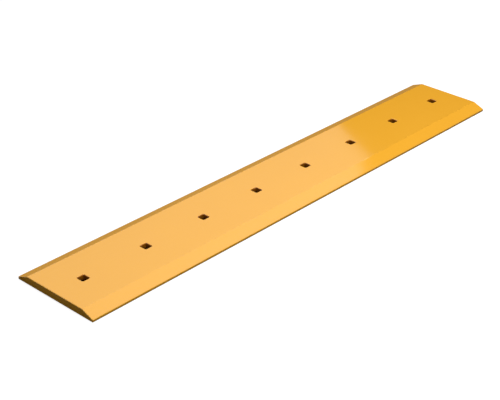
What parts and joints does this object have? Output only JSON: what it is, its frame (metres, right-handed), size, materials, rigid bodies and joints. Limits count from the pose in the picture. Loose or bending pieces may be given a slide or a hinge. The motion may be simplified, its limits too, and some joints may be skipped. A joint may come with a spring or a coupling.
{
  "type": "dozer cutting edge",
  "caption": "Flat steel cutting edge for a dozer blade, bevelled along both long sides, with a centre row of square countersunk plow bolt holes.",
  "frame": {"origin": "centre of the wide front face, which the edge lies on", "axes": "+X along the bar, +Y across it, +Z out of the narrow back face"},
  "size_m": [1.5, 0.25, 0.02],
  "materials": {
    "yellow_enamel": "gloss"
  },
  "bodies": {
    "root": {"cutting_edge": "yellow_enamel"}
  },
  "joints": []
}
